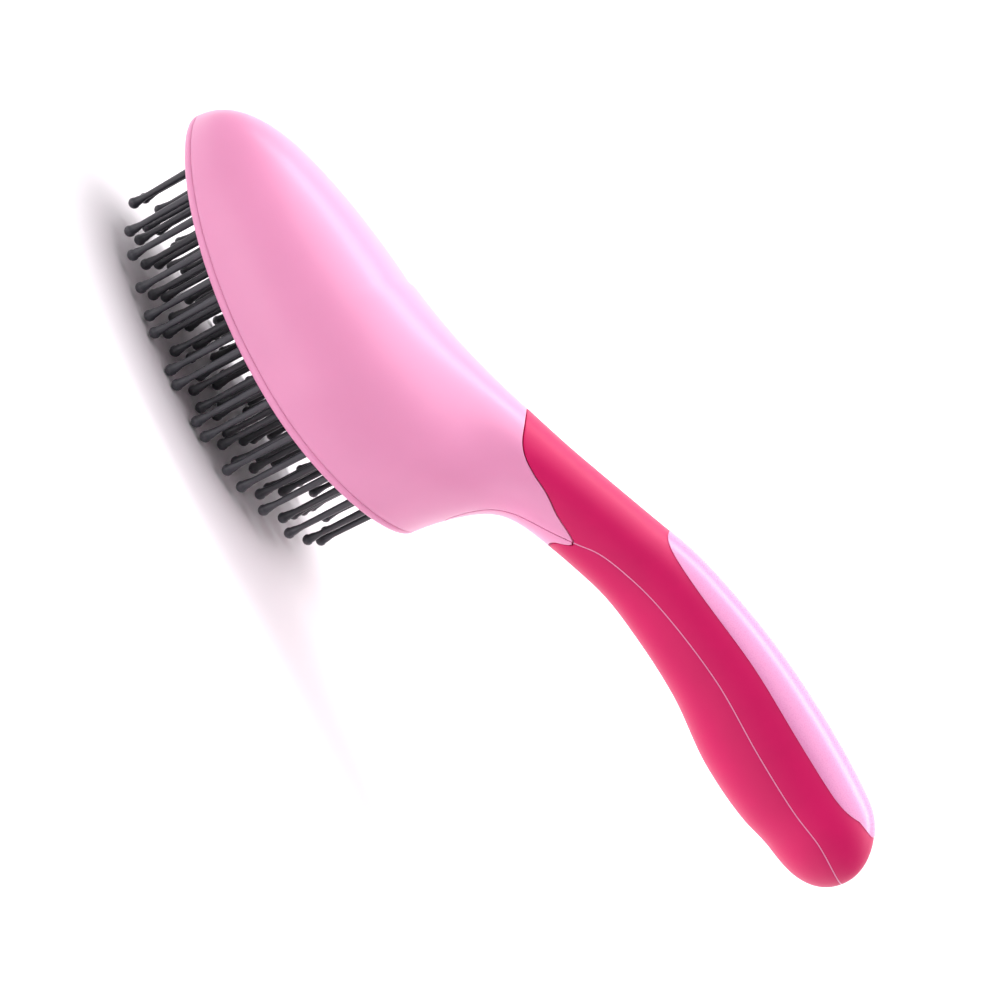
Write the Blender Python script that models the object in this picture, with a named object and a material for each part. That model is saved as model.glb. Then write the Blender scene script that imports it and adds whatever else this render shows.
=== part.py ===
"""Cushioned hair brush with a deep hollow head and an overmoulded soft grip.

Frame: +X runs from the head to the handle's end, +Z is the back of the brush,
the pins point down along -Z and the brush is symmetric about the XZ plane.
The origin is under the middle of the brush, level with the lowest pin tips.
Lengths are in metres. Heights in the functions and tables are counted from a
datum plane, and every finished sub-part is raised by the datum's own height.
"""
import math

import bmesh
import bpy
import numpy as np

# ---------------------------------------------------------------- driving sizes
DATUM = 0.0045             # height of the datum plane above the lowest pin tips
HALF_LENGTH = 0.120        # the brush reaches this far to each side of the origin
HEEL_X = -0.004            # rear end of the head
WIDE_X = -0.046            # station where the head is widest
HEAD_HALF_WIDTH = 0.032
HEAD_DEPTH = 0.036         # rim to back at the widest station
HEAD_POWER = 2.4           # fullness of the head's cross-section
HEEL_STAND = 0.026         # how much the head's rear lengthens with height, so the heel stands up
TIP_TRIM = 0.0002          # the shell's foremost point is this far behind the rim's
RIM_END_Z = 0.024          # height of the rim at its two ends
RIM_SAG = 0.008            # how far the rim drops between its ends
PARTING_RISE = 0.0022      # parting line above the rim's lower face
HANDLE_POWER = 2.15        # fullness of the handle's cross-section
CAP_X = 0.1045             # the handle's round end starts here
NOSE_X = -0.030            # the handle's root fades into the head from here
NOSE_LENGTH = 0.032
BLEND = 0.015              # size of the fillet between head and handle
WALL = 0.0020              # moulded wall thickness
GRIP_THICKNESS = 0.0018
GAP = 0.0003               # clearance between neighbours
CORE_DEPTH = 0.0024        # the handle's core lies this far under the grip's skin
INLAY_THICKNESS = 0.0008
PAD_THICKNESS = 0.0020
PAD_CROWN = 0.0025
PAD_INSET = 0.0025
RIM_WIDTH = 0.0045
PIN_ROWS = 13
PIN_RADIUS = 0.00085
PIN_TIP_RADIUS = 0.00140
PIN_REACH = 0.0205         # pin tips stand this far below the rim
PIN_PITCH = 0.0078
STAGGER = 0.0015           # every other pin of a row stands up to this far forward, the rest back
PIN_EDGE = 0.0064          # end pins stay this far inside the head's outline
PIN_SIDES = 6
HOLE_RADIUS = 0.00165      # to the corners of the square holes
HOLE_SIDES = 4
RAIL_HALF_WIDTH = 0.0015
RAIL_THICKNESS = 0.0014
RAIL_OVERHANG = 0.0015     # rail beyond the end pins
RAIL_GAP = 0.0008          # rail above the pad's inner face
ROW_CENTRES = (-0.1098, -0.0128)   # middle of the first and of the last pin row
ROW_ENDS = (-0.1000, -0.0178)      # end pins of the first and of the last pin row

# handle stations: x, centre z, half height, half width
HANDLE = np.array([
    (-0.060, 0.0358, 0.0080, 0.0100),
    (-0.040, 0.0438, 0.0098, 0.0115),
    (-0.020, 0.0524, 0.0114, 0.0122),
    (0.000, 0.0604, 0.0120, 0.0122),
    (0.020, 0.0692, 0.0119, 0.0120),
    (0.030, 0.0733, 0.0122, 0.0121),
    (0.045, 0.0770, 0.0130, 0.0126),
    (0.060, 0.0794, 0.0139, 0.0133),
    (0.080, 0.0805, 0.0154, 0.0141),
    (0.095, 0.0820, 0.0148, 0.0138),
    (0.1045, 0.0833, 0.0134, 0.0128),
    (0.120, 0.0822, 0.0125, 0.0120),
])

# section planes behind the head: station, lower x and z, upper x and z
PLANES = np.array([
    (1, -0.0040, 0.0240, -0.0280, 0.0620),
    (2, -0.0036, 0.0308, -0.0240, 0.0636),
    (3, -0.0025, 0.0379, -0.0195, 0.0653),
    (4, -0.0001, 0.0445, -0.0135, 0.0678),
    (5, 0.0043, 0.0501, -0.0070, 0.0704),
    (6, 0.0109, 0.0542, 0.0010, 0.0738),
    (7, 0.0190, 0.0575, 0.0095, 0.0770),
    (8, 0.0272, 0.0603, 0.0180, 0.0805),
    (9, 0.0428, 0.0638, 0.0360, 0.0876),
    (10, 0.0597, 0.0655, 0.0555, 0.0923),
    (11, 0.0799, 0.0652, 0.0782, 0.0957),
    (12, 0.0948, 0.0672, 0.0945, 0.0967),
    (13, 0.1045, 0.0700, 0.1045, 0.0967),
])
CAP_STATION = 13
END_STATION = 14
HEEL_TURN = 0.85           # section rows crowd together behind this station
TONGUE_STATION = 2.5       # lowest point of the lower half's tongue on the heel

# height of the handle's parting line in its section: station, share of the height
PARTING = np.array([
    (2.5, 0.00), (2.6, 0.02), (3.0, 0.045), (3.6, 0.07), (5.0, 0.125), (6.0, 0.19),
    (6.8, 0.28), (7.4, 0.36), (8.5, 0.42), (10.0, 0.45), (13.0, 0.45), (14.0, 0.48),
])

# front edge of the soft grip: place round the section (0 back, 1 parting, 2 front), station
GRIP_EDGE = np.array([
    (0.00, 3.10), (0.20, 3.45), (0.41, 4.00), (0.57, 4.85), (0.65, 5.35),
    (0.80, 6.02), (0.93, 6.60), (1.00, 6.82), (1.22, 6.45), (1.60, 6.35), (2.00, 6.50),
])

INLAY_START = 8.35
INLAY_END = 13.30
INLAY_SPREAD = 0.58        # share of the way from the back to the parting line
INLAY_ROUNDNESS = 4.0

HEAD_STATIONS = (0, 0.05, 0.11, 0.18, 0.26, 0.34, 0.42, 0.50, 0.58, 0.66, 0.74, 0.82, 0.89, 0.95, 1, 1.7, 2.5)
FAN = (0.06, 0.16, 0.32, 0.52, 0.76, 1.0)       # rows from the tongue to the grip's edge
REAR = (0, 0.12, 0.25, 0.38, 0.5, 0.62, 0.74, 0.84, 0.92, 0.97, 1.0)  # rows under the grip
BACK_PLACES = 17           # points round the section from parting line to parting line
FRONT_PLACES = 9
TONGUE_GAP = 0.045         # clearance at the tongue's lowest point, in stations
STEP_BACK = 0.38           # the core's inner step lies this far ahead of its outer step

COLLECTION = "hair_brush"


# ---------------------------------------------------------------- body surface
def curve(keys, at):
    """Smooth curve through the rows of keys, whose first column is the station."""
    stations = keys[:, 0]
    slopes = np.gradient(keys[:, 1:], stations, axis=0)
    at = np.clip(at, stations[0], stations[-1])
    i = np.clip(np.searchsorted(stations, at, side="right") - 1, 0, len(stations) - 2)
    span = (stations[i + 1] - stations[i])[..., None]
    t = (at - stations[i])[..., None] / span
    start = (1 + 2 * t) * (1 - t) ** 2 * keys[i, 1:] + t * (1 - t) ** 2 * span * slopes[i]
    end = t * t * (3 - 2 * t) * keys[i + 1, 1:] - t * t * (1 - t) * span * slopes[i + 1]
    return start + end


def rim_height(x):
    """Height of the rim's lower face, an arc that sags between the head's ends."""
    middle = (HEEL_X - HALF_LENGTH) / 2
    half = (HEEL_X + HALF_LENGTH) / 2
    return RIM_END_Z - RIM_SAG * (1 - ((x - middle) / half) ** 2)


def head_reach(x):
    """Length of the half ellipse in plan that station x belongs to."""
    return np.where(x < WIDE_X, HALF_LENGTH + WIDE_X, HEEL_X - WIDE_X)


def head_value(p):
    """Below zero inside the head, an egg in plan with a full domed section."""
    rise = np.maximum(p[..., 2] - rim_height(p[..., 0]), 0)
    stand = np.where(p[..., 0] > WIDE_X, HEEL_STAND * (rise / HEAD_DEPTH) ** 2, 0)
    along = (p[..., 0] - WIDE_X) / (head_reach(p[..., 0]) + stand)
    section = (np.abs(p[..., 1]) / HEAD_HALF_WIDTH) ** HEAD_POWER + (rise / HEAD_DEPTH) ** HEAD_POWER
    return along ** 2 + np.maximum(section, 1e-12) ** (2 / HEAD_POWER) - 1


def handle_value(p):
    """Below zero inside the handle and its root in the head."""
    x = p[..., 0]
    centre, half_height, half_width = np.moveaxis(curve(HANDLE, x), -1, 0)
    end = np.maximum(x - CAP_X, 0) / (HALF_LENGTH - CAP_X)
    nose = np.maximum(NOSE_X - x, 0) / NOSE_LENGTH
    section = (np.abs(p[..., 1]) / half_width) ** HANDLE_POWER
    section = section + (np.abs(p[..., 2] - centre) / half_height) ** HANDLE_POWER
    return end ** 2 + nose ** 2 + np.maximum(section, 1e-12) ** (2 / HANDLE_POWER) - 1


def distance(value, p):
    """First-order distance to the surface where value is zero."""
    step = 1e-5
    slopes = [(value(p + d) - value(p - d)) / (2 * step) for d in np.eye(3) * step]
    return value(p) / np.maximum(np.sqrt(sum(s * s for s in slopes)), 1e-3)


def body_distance(p):
    """Distance to the whole body: head and handle joined by a fillet."""
    head = distance(head_value, p)
    handle = distance(handle_value, p)
    overlap = np.maximum(BLEND - np.abs(head - handle), 0) / BLEND
    return np.minimum(head, handle) - overlap ** 2 * BLEND / 4


def section_plane(station, depth):
    """Centre of a cross-section and its upward direction, for a surface depth below the skin."""
    head = station < 1
    s = np.clip(station, 0, 1)
    half = (HEEL_X + HALF_LENGTH) / 2
    shrink = np.where(s < 0.5, depth + TIP_TRIM, 0)
    low_x = (HEEL_X - HALF_LENGTH) / 2 - (half - shrink) * np.cos(math.pi * s)
    along = (low_x - WIDE_X) / head_reach(low_x)
    top_z = rim_height(low_x) + HEAD_DEPTH * np.sqrt(np.maximum(1 - along ** 2, 0))
    lean = np.where(s > 0.5, np.maximum(-np.cos(math.pi * s), 0) ** 1.5, 0)
    low = np.stack([low_x, rim_height(low_x)], -1)
    top = np.stack([low_x - 0.024 * lean, np.where(s > 0.5, top_z + (0.062 - top_z) * lean, top_z)], -1)
    rear = curve(PLANES, station)
    low = np.where(head[..., None], low, rear[..., :2])
    top = np.where(head[..., None], top, rear[..., 2:])
    share = np.where(station < 0.5, 0.35, np.where(head, 0.35 + 0.2 * (s - 0.5), 0.45))
    centre = low + share[..., None] * (top - low)
    lift = rim_height(low_x) + PARTING_RISE + GAP
    centre[..., 1] = np.where(station < 0.5, np.maximum(centre[..., 1], lift), centre[..., 1])
    up = (top - low) / np.maximum(np.linalg.norm(top - low, axis=-1), 1e-6)[..., None]
    up = np.where((station < 0.5)[..., None], [0.0, 1.0], up)
    cap = np.clip(station - CAP_STATION, 0, 1)
    cap_x = CAP_X + (HALF_LENGTH - CAP_X - depth) * np.sin(cap * math.pi / 2)
    cap_z = centre[..., 1] + cap * (curve(HANDLE, cap_x)[..., 0] - centre[..., 1])
    capped = np.stack([cap_x, cap_z], -1)
    ending = (station > CAP_STATION)[..., None]
    centre = np.where(ending, capped, centre)
    up = np.where(ending, [0.0, 1.0], up)
    return centre, up


def on_ring(station, angle, depth):
    """Point of the surface at an angle from the section's upward direction."""
    centre, up = section_plane(station, depth)
    origin = np.stack([centre[..., 0], 0 * station, centre[..., 1]], -1)
    ray = np.stack([up[..., 0] * np.cos(angle), np.sin(angle), up[..., 1] * np.cos(angle)], -1)
    near = np.zeros(ray.shape[:-1])
    far = np.full(ray.shape[:-1], 0.075)
    for _ in range(26):
        middle = (near + far) / 2
        inside = body_distance(origin + ray * middle[..., None]) < -depth
        near = np.where(inside, middle, near)
        far = np.where(inside, far, middle)
    return origin + ray * near[..., None]


def closing_station(depth, rise):
    """Station where the head's parting line meets itself at the middle of the heel."""
    low, high = 0.8, 1.6
    for _ in range(24):
        middle = np.array((low + high) / 2)
        point = on_ring(middle, np.array(math.pi), depth)
        if point[2] - rim_height(point[0]) < rise:
            low = float(middle)
        else:
            high = float(middle)
    return (low + high) / 2


def parting_angle(station, depth, shift):
    """Angle at which the section crosses the parting line, shifted up by a clearance."""
    low, high = np.zeros(station.shape), np.full(station.shape, math.pi)
    up = section_plane(station, depth)[1]
    bottom = on_ring(station, high, depth)
    top = on_ring(station, low, depth)
    share = curve(PARTING, station)[..., 0]
    opening = np.clip((station - TONGUE_STATION) * 10, 0, 1)

    def height(p, q):
        return (p[..., 0] - q[..., 0]) * up[..., 0] + (p[..., 2] - q[..., 2]) * up[..., 1]

    target = share * height(top, bottom) + shift * opening
    for _ in range(22):
        middle = (low + high) / 2
        point = on_ring(station, middle, depth)
        over_rim = point[..., 2] - rim_height(point[..., 0]) - PARTING_RISE - shift
        over_line = height(point, bottom) - target
        above = np.where(station < TONGUE_STATION, over_rim, over_line) > 0
        low = np.where(above, middle, low)
        high = np.where(above, high, middle)
    return np.where(low > math.pi - 2e-3, math.pi, low)


def skin(station, place, depth, shift):
    """Surface points; place is 0 on the back, 1 on the parting line and 2 on the front."""
    side = np.sign(place)
    place = np.abs(place)
    closing = np.select([depth == d for d in HEAD_DEPTHS], [CLOSING[d] for d in HEAD_DEPTHS], 1.0)
    rear = closing + (station - 1) * (TONGUE_STATION - closing) / (TONGUE_STATION - 1)
    rear = np.where(station < TONGUE_STATION, rear, station)
    turning = HEEL_TURN + (station - HEEL_TURN) * (closing - HEEL_TURN) / (1 - HEEL_TURN)
    front = np.where(station < HEEL_TURN, station, turning)
    station = np.where(station < 1, front, rear)
    line = parting_angle(station, depth, shift)
    closed_end = TONGUE_STATION + (TONGUE_GAP if shift < 0 else 0)
    line = np.where((station >= closing - 1e-9) & (station <= closed_end + 1e-9), math.pi, line)
    angle = np.where(place <= 1, place * line, line + (place - 1) * (math.pi - line))
    points = on_ring(station, angle, depth)
    points[..., 1] = np.where(angle > math.pi - 1e-9, 0, side * points[..., 1])
    points[..., 1] = np.where(angle < 1e-9, 0, points[..., 1])
    return points


HEAD_DEPTHS = (0.0, WALL)
CLOSING = {depth: closing_station(depth, PARTING_RISE + GAP / 2) for depth in HEAD_DEPTHS}


def wall_grid(rows, place, shift):
    """Outer and inner points for rows of (station, outer depth, inner station, inner depth)."""
    station, depth, inner_station, inner_depth = (
        np.array([row[k] + 0 * place for row in rows]) for k in range(4))
    place = place + 0 * station
    return skin(station, place, depth, shift), skin(inner_station, place, inner_depth, shift)


# ---------------------------------------------------------------- mesh helpers
def new_object(name, vertices, faces, material, smooth=True):
    """Mesh object in the brush's collection, turned so that its faces point out."""
    mesh = bpy.data.meshes.new(name)
    mesh.from_pydata([(x, y, z + DATUM) for x, y, z in vertices], [], faces)
    bm = bmesh.new()
    bm.from_mesh(mesh)
    bmesh.ops.triangulate(bm, faces=[f for f in bm.faces if len(f.verts) > 3])
    if bm.calc_volume(signed=True) < 0:
        bmesh.ops.reverse_faces(bm, faces=bm.faces)
    bm.to_mesh(mesh)
    bm.free()
    if smooth:
        mesh.shade_smooth()
        mesh.set_sharp_from_angle(angle=math.radians(40))
    obj = bpy.data.objects.new(name, mesh)
    mesh.materials.append(material)
    bpy.data.collections[COLLECTION].objects.link(obj)
    return obj


def walled(name, outer, inner, material):
    """Closed wall between two grids of points, welded where the outer points meet."""
    rows, columns = outer.shape[:2]
    keys = np.round(outer.reshape(-1, 3) / 2e-6).astype(np.int64)
    _, first, number = np.unique(keys, axis=0, return_index=True, return_inverse=True)
    number = number.reshape(rows, columns)
    count = len(first)
    vertices = np.concatenate([outer.reshape(-1, 3)[first], inner.reshape(-1, 3)[first]])
    skin_faces = []
    for i in range(rows - 1):
        for j in range(columns - 1):
            loop = [number[i, j], number[i, j + 1], number[i + 1, j + 1], number[i + 1, j]]
            face = [int(v) for k, v in enumerate(loop) if v != loop[k - 1]]
            if len(set(face)) > 2:
                skin_faces.append(face)
    edges = {(f[k - 1], f[k]) for f in skin_faces for k in range(len(f))}
    faces = [list(f) for f in skin_faces]
    faces += [[v + count for v in reversed(f)] for f in skin_faces]
    faces += [[b, a, a + count, b + count] for a, b in sorted(edges) if (b, a) not in edges]
    return new_object(name, vertices, faces, material)


def ringed(name, loops, material):
    """Closed ring through equal loops of points."""
    rows, columns = loops.shape[:2]
    faces = []
    for i in range(rows):
        for j in range(columns):
            a, b = (i + 1) % rows, (j + 1) % columns
            faces.append([i * columns + j, i * columns + b, a * columns + b, a * columns + j])
    return new_object(name, loops.reshape(-1, 3), faces, material)


def boolean(obj, cutter, operation):
    """Apply a Boolean with one cutter and remove the cutter."""
    modifier = obj.modifiers.new(operation.lower(), "BOOLEAN")
    modifier.operation = operation
    modifier.solver = "EXACT"
    modifier.use_self = False
    modifier.object = cutter
    mesh = bpy.data.meshes.new_from_object(obj.evaluated_get(bpy.context.evaluated_depsgraph_get()))
    obj.modifiers.clear()
    obj.data = mesh
    bpy.data.objects.remove(cutter)


def material(name, color, roughness):
    """Plain plastic or rubber finish for one sub-part."""
    finish = bpy.data.materials.new(name)
    finish.use_nodes = True
    shader = finish.node_tree.nodes["Principled BSDF"]
    shader.inputs["Base Color"].default_value = (*color, 1)
    shader.inputs["Roughness"].default_value = roughness
    shader.inputs["Metallic"].default_value = 0
    finish.diffuse_color = (*color, 1)
    return finish


# ---------------------------------------------------------------- shells and grips
def grip_edge(place):
    """Station of the soft grip's front edge at each place round the section."""
    return curve(GRIP_EDGE, np.abs(place))[..., 0]


def handle_rows(start, edge):
    """Rows of a handle core: plain up to the soft grip's edge, then set back under the grip."""
    inner_edge = edge - STEP_BACK
    rows = [(start + f * (edge - start), 0.0, start + f * (inner_edge - start), WALL) for f in FAN]
    for f in REAR:
        outer = edge + f * (END_STATION - edge)
        inner = inner_edge + f * (END_STATION - inner_edge)
        rows.append((outer, CORE_DEPTH, inner, CORE_DEPTH + WALL))
    return rows


def back_shell():
    """Back of the head, the heel and the upper core of the handle, in one moulding."""
    around = np.linspace(-1, 1, BACK_PLACES)
    rows = [(s + 0 * around, 0.0, s + 0 * around, WALL) for s in HEAD_STATIONS]
    rows += handle_rows(TONGUE_STATION, grip_edge(around) - 0.04)
    outer, inner = wall_grid(rows, around, GAP / 2)
    return walled("back_shell", outer, inner, material("pink_shell", (0.88, 0.38, 0.62), 0.35))


def front_places():
    """Places from one parting line over the front to the other parting line."""
    around = np.linspace(1, 3, FRONT_PLACES)
    return np.where(around > 2, around - 4, around)


def front_shell():
    """Lower half of the handle, whose tongue runs down the heel."""
    around = front_places()
    start = TONGUE_STATION + TONGUE_GAP
    edge = grip_edge(around) - 0.04
    rows = [(start + 0 * around, 0.0, start + 0 * around, WALL)]
    rows += handle_rows(TONGUE_STATION, edge)
    outer, inner = wall_grid(rows, around, -GAP / 2)
    return walled("front_shell", outer, inner, material("pink_front", (0.88, 0.38, 0.62), 0.35))


def grip_sheet(name, around, shift, finish):
    """Soft grip skin from its front edge to the handle's end."""
    edge = grip_edge(around) + 0.02
    stations = [edge + f * (END_STATION - edge) for f in REAR]
    outer, inner = wall_grid([(s, 0.0, s, GRIP_THICKNESS) for s in stations], around, shift)
    return walled(name, outer, inner, finish)


def inlay_grid(margin, depth):
    """Grid over the inlay's rounded outline, widened by a margin."""
    turn = np.linspace(0, math.pi, 13)
    across = np.linspace(-1, 1, 7)
    along = np.cos(turn)
    spread = INLAY_SPREAD * (1 - np.abs(along) ** INLAY_ROUNDNESS) ** (1 / INLAY_ROUNDNESS)
    middle = (INLAY_START + INLAY_END) / 2
    half = (INLAY_END - INLAY_START) / 2
    station = middle - (half + margin * 2.5) * along
    place = (spread * (1 + margin))[:, None] * across[None, :]
    return skin(station[:, None] + 0 * place, place, depth + 0 * place, GAP / 2)


def grips():
    """Upper and lower soft grips, with a pocket for the inlay in the upper one."""
    magenta = material("magenta_grip", (0.60, 0.02, 0.12), 0.5)
    upper = grip_sheet("grip_back", np.linspace(-1, 1, BACK_PLACES), GAP / 2, magenta)
    pocket = walled("pocket", inlay_grid(0.12, -0.0015), inlay_grid(0.12, INLAY_THICKNESS + 2 * GAP), magenta)
    boolean(upper, pocket, "DIFFERENCE")
    grip_sheet("grip_front", front_places(), -GAP / 2, material("magenta_front", (0.60, 0.02, 0.12), 0.5))


def grip_inlay():
    """Light pink plate let into the back of the grip."""
    finish = material("pink_inlay", (0.80, 0.30, 0.53), 0.35)
    return walled("grip_inlay", inlay_grid(0.0, 0.0), inlay_grid(0.0, INLAY_THICKNESS), finish)


# ---------------------------------------------------------------- rim, pad and pins
def outline(turn, inset):
    """Plan outline of the head, moved inwards along its normal."""
    x = WIDE_X - head_reach(WIDE_X - np.cos(turn)) * np.cos(turn)
    y = HEAD_HALF_WIDTH * np.sin(turn)
    reach = head_reach(x)
    normal = np.stack([(x - WIDE_X) / reach ** 2, y / HEAD_HALF_WIDTH ** 2], -1)
    normal = normal / np.linalg.norm(normal, axis=-1)[..., None]
    return np.stack([x, y], -1) - inset * normal


def rim_frame():
    """Oval ring that closes the head and clamps the pad."""
    top = PARTING_RISE - GAP / 2
    section = [(0, top), (0, 0.0009), (0.0003, 0.0003), (0.0010, 0), (RIM_WIDTH - 0.0008, 0),
               (RIM_WIDTH - 0.0002, 0.0003), (RIM_WIDTH, 0.0008), (RIM_WIDTH, top)]
    turn = np.linspace(0, 2 * math.pi, 56, endpoint=False)
    loops = []
    for inset, rise in section:
        plan = outline(turn, inset)
        loops.append(np.stack([plan[:, 0], plan[:, 1], rim_height(plan[:, 0]) + rise], -1))
    return ringed("rim_frame", np.array(loops), material("pink_rim", (0.90, 0.42, 0.65), 0.35))


def pad_drop(x, y):
    """How far the pad bulges below its clamped edge."""
    clamped = 1 - (RIM_WIDTH + GAP) / HEAD_HALF_WIDTH
    share = ((x - WIDE_X) / head_reach(x)) ** 2 + (y / HEAD_HALF_WIDTH) ** 2
    return PAD_CROWN * np.maximum(1 - share / clamped ** 2, 0)


def pad_height(x, y):
    """Height of the pad's outer face."""
    return rim_height(x) + PARTING_RISE + GAP / 2 - pad_drop(x, y)


def bristle_pad(pins):
    """Rubber pad with a hole for each pin."""
    turn = np.linspace(0, math.pi, 15)
    across = np.linspace(-1, 1, 5)
    edge = outline(turn, PAD_INSET)
    edge[0, 1] = 0
    edge[-1, 1] = 0
    x = edge[:, :1] + 0 * across
    y = edge[:, 1:] * across
    lower = np.stack([x, y, pad_height(x, y)], -1)
    upper = lower + [0, 0, PAD_THICKNESS]
    pad = walled("bristle_pad", lower, upper, material("grey_rubber", (0.04, 0.04, 0.045), 0.6))
    vertices, faces = [], []
    for x, y in pins:
        add_turned(vertices, faces, x, y, [(HOLE_RADIUS, 0.0), (HOLE_RADIUS, 0.040)], HOLE_SIDES)
    cutter = new_object("pin_holes", vertices, faces, pad.data.materials[0])
    boolean(pad, cutter, "DIFFERENCE")


def add_turned(vertices, faces, x, y, profile, sides):
    """Add one upright many-sided piece to the lists, closed at both ends."""
    base = len(vertices)
    for radius, z in profile:
        for k in range(sides):
            angle = 2 * math.pi * (k + 0.5) / sides
            vertices.append((x + radius * math.cos(angle), y + radius * math.sin(angle), z))
    for i in range(len(profile) - 1):
        for k in range(sides):
            a = base + i * sides + k
            b = base + i * sides + (k + 1) % sides
            faces.append([a, b, b + sides, a + sides])
    faces.append([base + k for k in reversed(range(sides))])
    last = base + (len(profile) - 1) * sides
    faces.append([last + k for k in range(sides)])


def row_line(row, y):
    """Plan position of one pin row, a staggered arc that bulges towards the nearer end of the head."""
    centre = ROW_CENTRES[0] + row / (PIN_ROWS - 1) * (ROW_CENTRES[1] - ROW_CENTRES[0])
    end, half = row_end(row)
    spaces = round(2 * half / PIN_PITCH)
    turn = math.pi * (np.abs(y) / (2 * half) * spaces - (spaces % 2) / 2)
    shift = STAGGER * math.sin(math.pi * (row + 0.5) / PIN_ROWS) * (-1) ** row
    return centre + (end - centre) * (y / half) ** 2 + shift * np.cos(turn)


def row_end(row):
    """Where a row's end pins stand: their x, and how far they are from the middle."""
    end = ROW_ENDS[0] + row / (PIN_ROWS - 1) * (ROW_ENDS[1] - ROW_ENDS[0])
    along = (end - WIDE_X) / (float(head_reach(end)) - PIN_EDGE)
    return end, (HEAD_HALF_WIDTH - PIN_EDGE) * math.sqrt(1 - along ** 2)


def row_pins(row):
    """Plan positions of the pins of one row."""
    half = row_end(row)[1]
    count = round(2 * half / PIN_PITCH) + 1
    return [(row_line(row, y), y) for y in np.linspace(-half, half, count)]


def pin_row(row, finish):
    """One nylon strip: a rail behind the pad and its parallel ball-tipped pins."""
    pins = row_pins(row)
    half = pins[-1][1] + RAIL_OVERHANG
    y = np.array([-half, *[pin[1] for pin in pins], half])
    x = row_line(row, y)
    low = pad_height(x, y) + PAD_THICKNESS + RAIL_GAP
    low = np.maximum(low, pad_height(x - RAIL_HALF_WIDTH, y) + PAD_THICKNESS + RAIL_GAP)
    low = np.maximum(low, pad_height(x + RAIL_HALF_WIDTH, y) + PAD_THICKNESS + RAIL_GAP)
    corners = [(-1, 0), (1, 0), (1, RAIL_THICKNESS), (-1, RAIL_THICKNESS)]
    loops = [np.stack([x + side * RAIL_HALF_WIDTH, y, low + rise], -1) for side, rise in corners]
    vertices = np.concatenate(loops)
    faces = []
    for a in range(4):
        b = (a + 1) % 4
        for i in range(len(y) - 1):
            faces.append([a * len(y) + i, a * len(y) + i + 1, b * len(y) + i + 1, b * len(y) + i])
    faces.append([a * len(y) for a in range(4)])
    faces.append([a * len(y) + len(y) - 1 for a in reversed(range(4))])
    name = f"pin_row_{row + 1:02d}"
    rail = new_object(name, vertices, faces, finish, smooth=False)
    pin_vertices, pin_faces = [], []
    for px, py in pins:
        tip = float(rim_height(px)) - PIN_REACH
        base = float(np.interp(py, y, low)) + RAIL_THICKNESS * 0.6
        profile = [(PIN_TIP_RADIUS * 0.55, tip), (PIN_TIP_RADIUS, tip + 0.0013),
                   (PIN_RADIUS, tip + 0.0032), (PIN_RADIUS, base)]
        add_turned(pin_vertices, pin_faces, px, py, profile, PIN_SIDES)
    boolean(rail, new_object("pins", pin_vertices, pin_faces, finish), "UNION")


def build():
    """Clear the scene and build every sub-part."""
    for obj in list(bpy.data.objects):
        bpy.data.objects.remove(obj)
    collection = bpy.data.collections.new(COLLECTION)
    bpy.context.scene.collection.children.link(collection)
    back_shell()
    front_shell()
    grips()
    grip_inlay()
    rim_frame()
    bristle_pad([pin for row in range(PIN_ROWS) for pin in row_pins(row)])
    nylon = material("nylon_pins", (0.03, 0.03, 0.035), 0.3)
    for row in range(PIN_ROWS):
        pin_row(row, nylon)


build()
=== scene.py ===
"""Looks of a cushioned hair brush with a soft-grip handle.

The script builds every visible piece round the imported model. Lengths are in
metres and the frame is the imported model's own: +X from the head to the handle's
end, +Z towards the back of the brush, pins along -Z, the floor at height 0.
"""
import functools
import math

import bmesh
import bpy
import numpy as np
from mathutils import Matrix, Vector


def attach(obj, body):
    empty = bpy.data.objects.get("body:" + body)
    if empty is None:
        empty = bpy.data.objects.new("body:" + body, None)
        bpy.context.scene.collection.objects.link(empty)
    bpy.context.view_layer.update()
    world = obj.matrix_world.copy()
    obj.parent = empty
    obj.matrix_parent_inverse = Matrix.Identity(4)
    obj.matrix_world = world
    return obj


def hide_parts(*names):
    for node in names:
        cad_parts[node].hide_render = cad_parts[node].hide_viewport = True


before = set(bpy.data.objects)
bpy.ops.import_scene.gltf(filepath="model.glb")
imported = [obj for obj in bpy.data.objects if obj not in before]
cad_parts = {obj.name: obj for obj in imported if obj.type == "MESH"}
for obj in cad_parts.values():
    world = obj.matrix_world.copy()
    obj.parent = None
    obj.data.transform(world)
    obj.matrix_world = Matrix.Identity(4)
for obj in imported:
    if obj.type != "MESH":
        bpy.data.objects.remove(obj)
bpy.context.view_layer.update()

bl_info = {
    "name": "Cushioned hair brush",
    "version": (1, 0, 0),
    "blender": (4, 5, 0),
    "location": "3D View > Sidebar > Brush",
    "description": "Builds the visible pieces of a cushioned hair brush",
    "category": "Add Mesh",
}

BODY = "brush"

# ---------------------------------------------------------------- shape of the brush
DATUM = 0.0045             # height of the tables' datum plane above the floor
HALF_LENGTH = 0.120
HEEL_X = -0.004            # rear end of the head
WIDE_X = -0.046            # station where the head is widest
HEAD_HALF_WIDTH = 0.032
HEAD_DEPTH = 0.036         # rim to back at the widest station
HEAD_POWER = 2.4           # fullness of the head's cross-section
HEEL_STAND = 0.026         # how much the head's rear lengthens with height
TIP_TRIM = 0.0002
RIM_END_Z = 0.024          # height of the rim at its two ends
RIM_SAG = 0.008            # how far the rim drops between its ends
PARTING_RISE = 0.0022      # parting line above the rim's lower face
HANDLE_POWER = 2.15        # fullness of the handle's cross-section
CAP_X = 0.1045             # the handle's round end starts here
NOSE_X = -0.030            # the handle's root fades into the head from here
NOSE_LENGTH = 0.032
BLEND = 0.015              # size of the fillet between head and handle
GAP = 0.0003               # clearance between neighbours
CORE_DEPTH = 0.0024        # the handle's core lies this far under the grip's skin
PIN_ROWS = 13
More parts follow.
